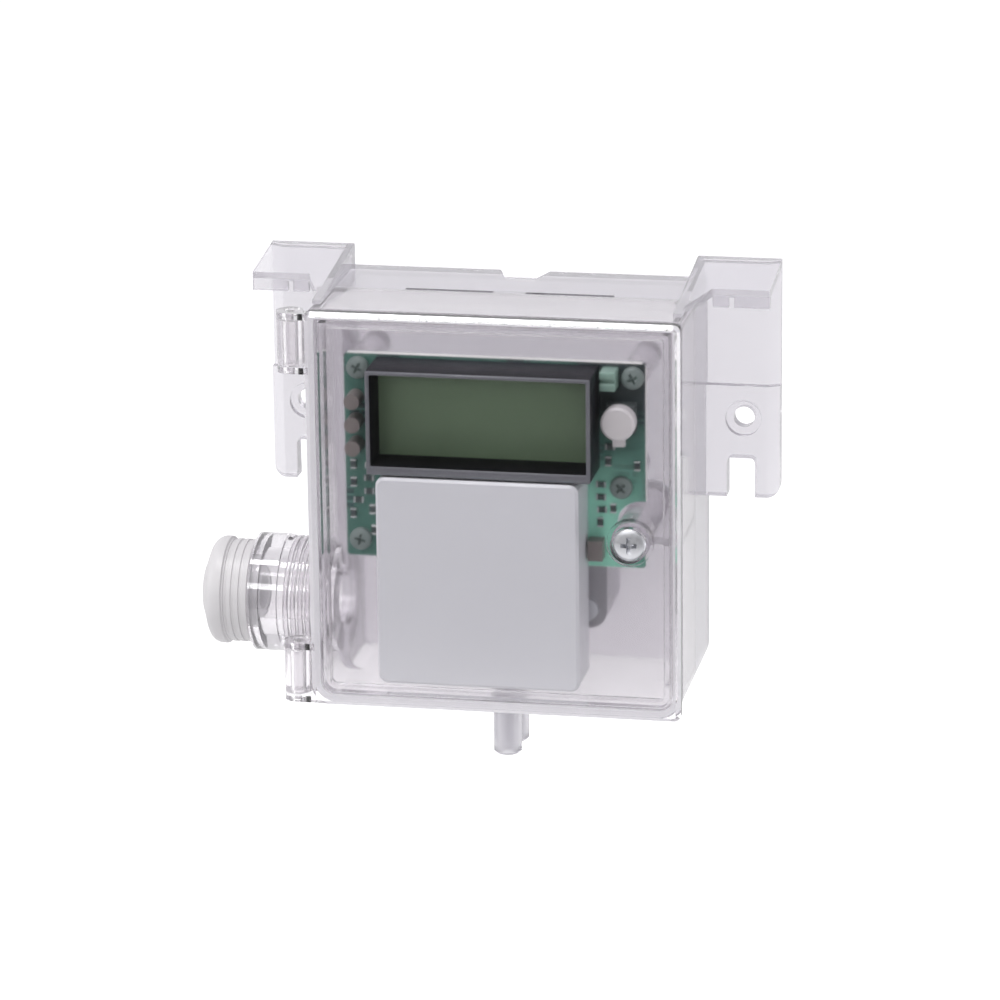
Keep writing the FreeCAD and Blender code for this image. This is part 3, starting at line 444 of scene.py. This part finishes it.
# %% Tracks
track_pitch, track_run, track_width, filled_cell = 1.6 * MM, 9 * MM, 0.22 * MM, 8 * MM
board_finish, tree, place = new_finish("green_solder_mask_on_fibreglass")
axes = add(tree, "ShaderNodeSeparateXYZ", {0: place})
flat = add(tree, "ShaderNodeCombineXYZ", {"X": axes.outputs["X"], "Y": axes.outputs["Z"]})
tracks = add(tree, "ShaderNodeTexBrick", {
    "Vector": flat.outputs[0], "Scale": 1.0, "Brick Width": track_run, "Row Height": track_pitch,
    "Mortar Size": track_width, "Mortar Smooth": 0.1, "Color1": linear("#344d4b"), "Color2": linear("#3b5654"),
    "Mortar": linear("#5d8a80")})
fill = add(tree, "ShaderNodeTexVoronoi", {"Vector": flat.outputs[0], "Scale": 1 / filled_cell}, distance="CHEBYCHEV")
plane = add(tree, "ShaderNodeMapRange", {"Value": fill.outputs["Distance"], "From Min": 0.3, "From Max": 0.34})
mask = add(tree, "ShaderNodeMix", {"Factor": plane.outputs[0], 6: tracks.outputs["Color"], 7: linear("#4c776c")},
           data_type="RGBA")
print("board tracks every", round(track_pitch / MM, 1), "mm")

# %% [markdown]
# ## The fields of the circuit board
# The board isn't one green all over. Low on the right the mask is paler where no copper lies behind it, and light
# shining through the board is painted in as well, so that field is bright. At the top right, shade from the shroud and
# the button is painted in as a nearly black field. Along the sawn edge the mask is missing, and the bare fibre is pale.
# Three boxes on the board say where, with wide soft borders for the fields and a sharp one for the edge.

# %% Fields and edge
# A bright field, partly paler mask and partly painted light, and a nearly black field of painted shade.
painted_light_and_shade_fields = [("#9be3ca", (8, -30, -40), (22, -20, -12), 10), ("#2c3739", (20, -30, 8), (40, -20, 30), 7)]
for colour, low, high, soft in painted_light_and_shade_fields:
    mask = add(tree, "ShaderNodeMix", {"Factor": inside(tree, place, low, high, soft), 6: mask.outputs[2],
                                       7: linear(colour)}, data_type="RGBA")
masked_low, masked_high = (-34.95, -30, -27.95), (30.15, -20, 17.15)
mask = add(tree, "ShaderNodeMix", {"Factor": inside(tree, place, masked_low, masked_high), 6: linear("#fafaf6"),
                                   7: mask.outputs[2]}, data_type="RGBA")
# Solder mask: a lacquer coat, so the green lies under a thin clear gloss, and tracks stand out a little.
relief = add(tree, "ShaderNodeBump", {"Strength": 0.3, "Distance": 0.05 * MM, "Height": tracks.outputs["Fac"]})
show(tree, add(tree, "ShaderNodeBsdfPrincipled", {"Base Color": mask.outputs[2], "Roughness": 0.35, "IOR": 1.5,
                                                  "Coat Weight": 0.4, "Normal": relief.outputs[0]}))
print("board fields:", len(painted_light_and_shade_fields), "and a bare edge")

# %% [markdown]
# ## The display
# A liquid crystal display that is off is a grey olive: a silvery film seen through two polarisers and glass. Layers
# of real glass would cost time for a flat, dark panel. Its colour is uneven by a few percent, and the front glass is
# glossy, which a coat over the satin film gives.

# %% Display
# Polariser film under glass: a dull olive with a clear reflection over it.
display_finish, tree, place = new_finish("display_polariser_under_glass")
film = add(tree, "ShaderNodeTexNoise", {"Vector": place, "Scale": 1 / (6 * MM), "Detail": 4.0})
olive = add(tree, "ShaderNodeMix", {"Factor": film.outputs[0], 6: linear("#70866a"), 7: linear("#687d62")},
            data_type="RGBA")
show(tree, add(tree, "ShaderNodeBsdfPrincipled", {"Base Color": olive.outputs[2], "Roughness": 0.4, "IOR": 1.5,
                                                  "Coat Weight": 0.6, "Coat Roughness": 0.05}))
print("display finish:", display_finish.name)

# %% [markdown]
# ## Dress the solids
# A solid whose shape is right stays as it is and only gets its finish, by its material slot. Painting by hand in the
# editor would do the same, but a list shows at a glance what each piece is made of.

# %% Finishes on the solids
finish_of = {
    "housing": clear_case, "front_door": clear_door, "mounting_bracket": clear_bracket, "door_seal": seal_silicone,
    "terminal_cover": cover_abs, "lcd_shroud": shroud_abs, "lcd_panel": display_finish, "main_pcb": board_finish,
    "gland_nut": gland_polyamide, "gland_clamp_ring": gland_polyamide, "gland_seal": gland_silicone,
    "lcd_contact_strips": black_nitrile, "zero_button": button_acetal, "sensing_beam": button_acetal,
    "zero_switch": part_epoxy, "pcb_chips": part_epoxy, "output_jumper": jumper_nylon,
    "pcb_capacitors": capacitor_sleeve, "terminal_block": terminal_polyamide, "diaphragm": seal_silicone,
    "front_chamber": nipple_plastic, "rear_chamber": nipple_plastic, "cell_pins": pin_brass,
    "diaphragm_disc": disc_aluminium, "chamber_screws": plated_steel, "door_screw": plated_steel,
    "hinge_pins": clear_case, "pcb_screws": screw_nylon_painted_green, "terminal_screws": plated_steel}
for name, material in finish_of.items():
    nodes[name].material_slots[0].material = material
print("bare solids left:", sorted(set(nodes) - set(finish_of)))

# %% [markdown]
# ## Pieces that follow a rule
# What repeats or follows a path is grown by a node tree: the tree is a recipe with named inputs for its sizes, and
# one short function runs it and keeps the result as a plain mesh. Loops in Python could place every copy too, but a
# tree keeps the sizes in one place, and the finished piece has no live modifier left.

# %% Helpers for grown pieces
def new_recipe(name, inputs):
    """A node tree with named inputs, and the sockets that give them."""
    tree = bpy.data.node_groups.new(name, "GeometryNodeTree")
    tree.interface.new_socket("Geometry", in_out="INPUT", socket_type="NodeSocketGeometry")
    for label, kind in inputs.items():
        tree.interface.new_socket(label, in_out="INPUT", socket_type="NodeSocket" + kind)
    tree.interface.new_socket("Geometry", in_out="OUTPUT", socket_type="NodeSocketGeometry")
    return tree, add(tree, "NodeGroupInput").outputs


def serve(tree, shape, finish):
    """Ends a recipe: one real mesh in one finish."""
    real = add(tree, "GeometryNodeRealizeInstances", {0: shape})
    dressed = add(tree, "GeometryNodeSetMaterial", {"Geometry": real.outputs[0], "Material": finish})
    add(tree, "NodeGroupOutput", {0: dressed.outputs[0]})


def settled(piece):
    """Keeps what a piece's modifiers make as its plain mesh, and takes the modifiers off."""
    result = bpy.data.meshes.new_from_object(piece.evaluated_get(bpy.context.evaluated_depsgraph_get()))
    piece.modifiers.clear()
    piece.data = result


def grown(name, tree, values, mesh=None):
    """Runs a recipe with these values and keeps the result as a plain mesh."""
    piece = placed(name, mesh or bpy.data.meshes.new(name))
    modifier = piece.modifiers.new("recipe", "NODES")
    modifier.node_group = tree
    sockets = {item.name: item.identifier for item in tree.interface.items_tree if item.in_out == "INPUT"}
    for label, value in values.items():
        modifier[sockets[label]] = value
    settled(piece)
    return piece


print("recipes end in Realize Instances and Set Material")

# %% [markdown]
# ## A piece and its body
# Every piece moves with a body of the model, and may stand for solids that it shows better. These calls come last for
# each piece, because the piece has to be a plain mesh by then.

# %% Carried pieces
def carried(piece, body, slot_name, *stands_for):
    """Puts a finished piece on its body, and hides the solids that it stands for."""
    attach(piece, body)
    if stands_for:
        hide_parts(*stands_for)
    print(piece.name, len(piece.data.polygons), "faces, on", body)


# %% [markdown]
# ## The thread on the cable entry
# The gland's body is moulded on the case and carries a thread of about 1.6 mm pitch. A stack of rings would look
# the same from the front, but a real thread climbs, so a round bar follows a spiral curve along the root that the
# solid has for it.

# %% Recipe for a thread
tree, given = new_recipe("moulded_thread", {"Radius": "Float", "Turns": "Float", "Run": "Float", "Bar": "Float",
                                            "Place": "Vector", "Finish": "Material"})
climb = add(tree, "GeometryNodeCurveSpiral", {"Resolution": 72, "Rotations": given["Turns"],
                                              "Start Radius": given["Radius"], "End Radius": given["Radius"],
                                              "Height": given["Run"]})
crest = add(tree, "GeometryNodeCurvePrimitiveCircle", {"Resolution": 10, "Radius": given["Bar"]})
bar = add(tree, "GeometryNodeCurveToMesh", {"Curve": climb.outputs[0], "Profile Curve": crest.outputs[0],
                                            "Fill Caps": True})
laid = add(tree, "GeometryNodeTransform", {"Geometry": bar.outputs[0], "Translation": given["Place"],
                                           "Rotation": (0, -math.pi / 2, 0)})
serve(tree, laid.outputs[0], given["Finish"])
print("thread recipe:", len(tree.nodes), "nodes")

# %% [markdown]
# ## The thread in place
# The spiral starts at the shoulder of the spigot and ends before the nut. Half of the bar lies in the solid, so only
# the round crest shows.

# %% Thread
gland_axis = (-19.5, -39.0)
thread_root, thread_pitch, thread_run, thread_from, thread_bar = 12.0, 1.6, 8.0, -40.8, 0.62
thread = grown("gland_thread", tree, {
    "Radius": thread_root * MM, "Turns": thread_run / thread_pitch, "Run": thread_run * MM, "Bar": thread_bar * MM,
    "Place": (thread_from * MM, gland_axis[0] * MM, gland_axis[1] * MM), "Finish": clear_thread})
carried(thread, "base", "clear_case")

# %% [markdown]
# ## Bodies of revolution
# Nut and screws are round, so half a section is written once and carried round the axis. Blender's Screw modifier
# does that too, but a loop over the points makes the closed ring at once, with poles merged and faces turned out.

# %% Helpers for round pieces
smooth_angle = 35


def smooth_by_angle(mesh, degrees=smooth_angle):
    """Smooth shading, kept sharp at edges that turn by more than this."""
    mesh.polygons.foreach_set("use_smooth", [True] * len(mesh.polygons))
    mesh.set_sharp_from_angle(angle=math.radians(degrees))


def closed_outward(mesh):
    """Merges the points of each pole, and turns every face of a closed mesh to the outside."""
    shell = bmesh.new()
    shell.from_mesh(mesh)
    bmesh.ops.remove_doubles(shell, verts=shell.verts, dist=0.001 * MM)
    bmesh.ops.delete(shell, geom=[edge for edge in shell.edges if not edge.link_faces], context="EDGES")
    bmesh.ops.recalc_face_normals(shell, faces=shell.faces)
    shell.to_mesh(mesh)
    shell.free()


def lathed(name, section, along, centre, finish, steps=96):
    """A body of revolution. The closed half section is (along the axis, radius) in mm; along names the axis."""
    count = len(section)
    points, faces = [], []
    for i in range(steps):
        turn, after = 2 * math.pi * i / steps, (i + 1) % steps
        for run, radius in section:
            a, b = centre[0] + radius * math.cos(turn), centre[1] + radius * math.sin(turn)
            points.append([v * MM for v in ((run, a, b) if along == "X" else (a, run, b))])
        faces += [(i * count + j, i * count + (j + 1) % count, after * count + (j + 1) % count, after * count + j)
                  for j in range(count)]
    mesh = bpy.data.meshes.new(name)
    mesh.from_pydata(points, [], faces)
    closed_outward(mesh)
    smooth_by_angle(mesh)
    mesh.materials.append(finish)
    return placed(name, mesh)


print("round pieces turn sharp above", smooth_angle, "degrees")

# %% [markdown]
# ## The gland nut
# The cap nut is smooth, with three grip grooves at its open end, a collar, and a rounded nose that slopes to the hole
# for the cable. The solid has a plain bevel there. Subdivision would round it too, but an arc and a slope in the
# section keep the nut's length and hole exactly.

# %% Gland nut
nut_mouth, nut_floor = -56.3, -65.4
nut_bore, nut_grip, nut_collar, cable_hole = 10.3, 11.2, 11.7, 5.5
mouth_bevel, groove_floor, groove_flank, groove_width = 0.3, 10.95, 0.15, 0.8
nose_from, nose_round, nose_turn, nose_steps = -63.4, 2.6, math.radians(70), 8

grip = []
for groove in (-57.6, -59.3, -61.0):
    grip += [(groove, nut_grip), (groove - groove_flank, groove_floor),
             (groove - groove_width + groove_flank, groove_floor), (groove - groove_width, nut_grip)]
collar = [(-62.0, nut_grip), (-62.3, 11.65), (-62.7, nut_collar)]
nose = [(nose_from - nose_round * math.sin(t), nut_collar - nose_round + nose_round * math.cos(t))
        for t in (nose_turn * i / nose_steps for i in range(nose_steps + 1))]
tip = [(-67.14, 6.42), (-67.3, 6.1), (-67.38, 5.9), (-67.4, 5.75), (-67.33, 5.58), (-67.15, cable_hole)]
nut_section = [(nut_mouth, nut_bore), (nut_mouth, nut_grip - mouth_bevel), (nut_mouth - mouth_bevel, nut_grip),
               *grip, *collar, *nose, *tip, (nut_floor, cable_hole), (nut_floor, nut_bore)]
nut = lathed("gland_cap_nut", nut_section, "X", gland_axis, gland_polyamide)
carried(nut, "gland_cap", "light_grey_plastic", "gland_nut")

# %% [markdown]
# ## Eased edges
# No moulded or pressed edge is perfectly sharp, and a sharp edge shows no light line. A Bevel modifier on the solid
# would catch on its loose triangles, so a copy is merged into whole faces first, and then its edges are eased.

# %% Helper for eased copies
sharp_angle, eased_angle, front_facing = 35, 40, -0.3


def eased(node, edge_mm, slot_name, outside, lining=None, rim=None):
    """A copy of a solid with its edges eased, which stands for it. A tube has a lining and a front rim as well, in
    colours of painted shade and painted sheen.
    """
    mesh = bpy.data.meshes.new(node + "_eased")
    work = bmesh.new()
    work.from_mesh(nodes[node].data)
    bmesh.ops.remove_doubles(work, verts=work.verts, dist=0.001 * MM)
    bmesh.ops.dissolve_limit(work, angle_limit=math.radians(1), verts=work.verts, edges=work.edges)
    sharp = [edge for edge in work.edges if edge.calc_face_angle(0) > math.radians(sharp_angle)]
    bmesh.ops.bevel(work, geom=sharp, offset=edge_mm * MM, segments=2, profile=0.5, affect="EDGES",
                    clamp_overlap=True)
    if lining:
        centre = sum((vert.co for vert in work.verts), Vector()) / len(work.verts)
        for face in work.faces:
            inward = face.normal.dot(centre - face.calc_center_median()) > 0
            face.material_index = 2 if face.normal.y < front_facing else int(inward)
    work.to_mesh(mesh)
    work.free()
    smooth_by_angle(mesh, eased_angle)
    for material in (outside, lining, rim) if lining else (outside,):
        mesh.materials.append(material)
    carried(placed(node + "_eased", mesh), "base", slot_name, node)


print("edges over", sharp_angle, "degrees are eased")

# %% [markdown]
# ## The display shroud and the small blocks
# The shroud is the piece whose edges show most: its rim, with a painted sheen, is a light grey line round the display,
# and its inside is darkened with painted shade. The jumper, the switch and the chips get smaller easings, as moulded
# parts of their size have.

# %% Eased copies
# The shroud's lining carries painted shade and its front rim a painted sheen.
eased("lcd_shroud", 0.3, "black_plastic", shroud_abs, shroud_inside_painted_shade, shroud_rim_painted_sheen)
eased("output_jumper", 0.25, "pale_green_plastic", jumper_nylon)
eased("zero_switch", 0.2, "black_plastic", part_epoxy)
eased("pcb_chips", 0.15, "black_plastic", part_epoxy)

# %% [markdown]
# ## One shape on many points
# Small parts and screws repeat on the board. Copies placed by hand would have to be moved by hand too, so a node tree
# sets one drawn part on a list of points, and each point carries its own turn as an attribute.

# %% Recipe for parts on points
board_front = -24.0
on_points, given = new_recipe("parts_on_points", {"Part": "Object", "Finish": "Material"})
points = add(on_points, "GeometryNodeMeshToPoints", {"Mesh": given["Geometry"]})
turn = add(on_points, "GeometryNodeInputNamedAttribute", {"Name": "turn"}, data_type="FLOAT")
about = add(on_points, "ShaderNodeCombineXYZ", {"Y": turn.outputs[0]})
drawn = add(on_points, "GeometryNodeObjectInfo", {"Object": given["Part"]})
copies = add(on_points, "GeometryNodeInstanceOnPoints", {
    "Points": points.outputs[0], "Instance": drawn.outputs["Geometry"], "Rotation": about.outputs[0]})
serve(on_points, copies.outputs[0], given["Finish"])


def spotted(name, spots):
    """Points on the front of the board, each with its share of a quarter turn."""
    mesh = bpy.data.meshes.new(name)
    mesh.from_pydata([(x * MM, board_front * MM, z * MM) for x, z, share in spots], [], [])
    turns = mesh.attributes.new("turn", "FLOAT", "POINT")
    turns.data.foreach_set("value", [share * math.pi / 2 for x, z, share in spots])
    return mesh


print("points lie", board_front, "mm along Y, on the front of the board")

# %% [markdown]
# ## Surface mounted parts
# The open strips of the board carry small surface mounted parts: a dark body between two tinned ends. A textured
# plate would do from far away, but the door opens, so one body and one pair of ends are drawn with eased edges.

# %% Drawn parts
part_edge = 0.08


def bevelled_blocks(name, blocks):
    """A part made of boxes with eased edges; a block is its low and high corner in mm."""
    work = bmesh.new()
    for low, high in blocks:
        centre = [(a + b) / 2 * MM for a, b in zip(low, high)]
        size = [(b - a) * MM for a, b in zip(low, high)]
        bmesh.ops.create_cube(work, size=1, matrix=Matrix.Translation(centre) @ Matrix.Diagonal((*size, 1)))
    bmesh.ops.bevel(work, geom=work.edges[:], offset=part_edge * MM, segments=2, profile=0.5, affect="EDGES",
                    clamp_overlap=True)
    mesh = bpy.data.meshes.new(name)
    work.to_mesh(mesh)
    work.free()
    return bpy.data.objects.new(name, mesh)


part_body = bevelled_blocks("part_body", [((-0.75, -0.6, -0.62), (0.75, -0.02, 0.62))])
part_ends = bevelled_blocks("part_ends", [((-1.05, -0.64, -0.65), (-0.7, 0.0, 0.65)),
                                          ((0.7, -0.64, -0.65), (1.05, 0.0, 0.65))])
print("one part in mm:", [round(v / MM, 2) for v in part_ends.dimensions])

# %% [markdown]
# ## The parts in place
# Each spot is a place on the board, and whether the part lies along or across. They keep to the two strips that are
# open to the eye, left and right of the cover, in the loose rows that a layout program leaves.

# %% Surface mounted parts
spots = [(-29.6, 11.6, 1), (-29.6, 8.4, 1), (-29.6, -7.6, 0), (-33.2, -7.4, 1), (-29.8, -10.4, 0), (-33.2, -11.4, 1),
         (-29.8, -13.4, 0), (-32.2, -15.4, 0), (-29.2, -17.4, 1), (-33.4, -18.4, 1), (-28.8, -22.0, 1),
         (22.6, -1.2, 0), (22.2, -4.4, 1), (28.4, -5.2, 1), (20.6, -9.6, 0),
         (20.6, -12.4, 0), (20.8, -15.2, 0), (23.2, -14.8, 1), (20.4, -18.0, 1)]
chip_bodies = grown("chip_part_bodies", on_points, {"Part": part_body, "Finish": part_epoxy},
                    spotted("chip_part_bodies", spots))
chip_ends = grown("chip_part_ends", on_points, {"Part": part_ends, "Finish": tinned},
                  spotted("chip_part_ends", spots))
carried(chip_bodies, "base", "black_plastic")
carried(chip_ends, "base", "steel")
for drawn_part in (part_body, part_ends):
    bpy.data.objects.remove(drawn_part)

# %% [markdown]
# ## A cross recess
# A cross is pressed into a screw's head by a tapered punch. A dark cross painted on the head would vanish in a close
# view, so a Boolean modifier cuts it out with a tapered cross, as the punch forms it.

# %% Helpers for screws
def domed(top, rise, radius, steps=8):
    """The section of a dome on Y, from near its middle to its edge."""
    return [(top + rise - rise * math.cos(t), radius * math.sin(t))
            for t in (math.pi / 2 * i / steps for i in range(1, steps + 1))]


def cross_punched(screw, at, top, arm, wing, deep, taper=0.45, above=0.4):
    """Cuts a tapered cross into the head of a screw along Y. Sizes are in mm, and top is where its dome begins."""
    outline = [(arm, wing), (wing, wing), (wing, arm), (-wing, arm), (-wing, wing), (-arm, wing), (-arm, -wing),
               (-wing, -wing), (-wing, -arm), (wing, -arm), (wing, -wing), (arm, -wing)]
    corners = [((at[0] + x * share) * MM, y * MM, (at[1] + z * share) * MM)
               for y, share in ((top - above, 1.0), (top + deep, taper)) for x, z in outline]
    count = len(outline)
    walls = [(i, (i + 1) % count, count + (i + 1) % count, count + i) for i in range(count)]
    mesh = bpy.data.meshes.new("cross_punch")
    mesh.from_pydata(corners, [], [tuple(range(count)), tuple(range(2 * count - 1, count - 1, -1)), *walls])
    closed_outward(mesh)
    punch = placed("cross_punch", mesh)
    cut = screw.modifiers.new("cross", "BOOLEAN")
    cut.operation, cut.object, cut.solver = "DIFFERENCE", punch, "EXACT"
    settled(screw)
    smooth_by_angle(screw.data)
    bpy.data.objects.remove(punch)


print("points from the middle of a dome to its edge:", len(domed(0, 1, 2)))

# %% [markdown]
# ## The door screw
# The captive steel screw that closes the door has a low domed head. Head and shank are one body of revolution on the
# solid's own axis, so it turns in its place as the solid does.

# %% Door screw
screw_at, screw_top, screw_seat, screw_end = (29.0, -18.2), -40.8, -38.6, -32.8
screw_head, screw_shank, screw_rise = 3.5, 1.6, 0.75
screw_section = [(screw_top, 0.0), *domed(screw_top, screw_rise, screw_head), (-38.8, screw_head), (screw_seat, 3.3),
                 (screw_seat, screw_shank), (-33.4, screw_shank), (screw_end, 1.1), (screw_end, 0.0)]
screw = lathed("door_cross_screw", screw_section, "Y", screw_at, plated_steel, 64)
cross_punched(screw, screw_at, screw_top, 2.1, 0.55, 1.5)
carried(screw, "door_fastener", "steel", "door_screw")

# %% [markdown]
# ## The board screws
# Four small nylon screws hold the board on its standoffs. One is drawn on the origin, and the tree for parts on points
# sets it on the four places, each stopped at its own turn, as screws do.

# %% Board screws
pan_top, pan_end, pan_head, pan_shank, pan_rise = -1.8, 6.0, 2.4, 1.0, 0.6
pan_section = [(pan_top, 0.0), *domed(pan_top, pan_rise, pan_head), (-0.15, pan_head), (0.0, 2.25), (0.0, pan_shank),
               (5.6, pan_shank), (pan_end, 0.6), (pan_end, 0.0)]
one_screw = lathed("one_board_screw", pan_section, "Y", (0, 0), screw_nylon_painted_green, 48)
cross_punched(one_screw, (0, 0), pan_top, 1.5, 0.36, 1.2)
screw_spots = [(-31.8, 14.2, 0.3), (27.6, 14.2, 0.7), (-31.8, -24.0, 0.15), (25.0, -10.0, 0.5)]
board_screws = grown("board_cross_screws", on_points, {"Part": one_screw, "Finish": screw_nylon_painted_green},
                     spotted("board_cross_screws", screw_spots))
bpy.data.objects.remove(one_screw)
carried(board_screws, "base", "clear_case", "pcb_screws")
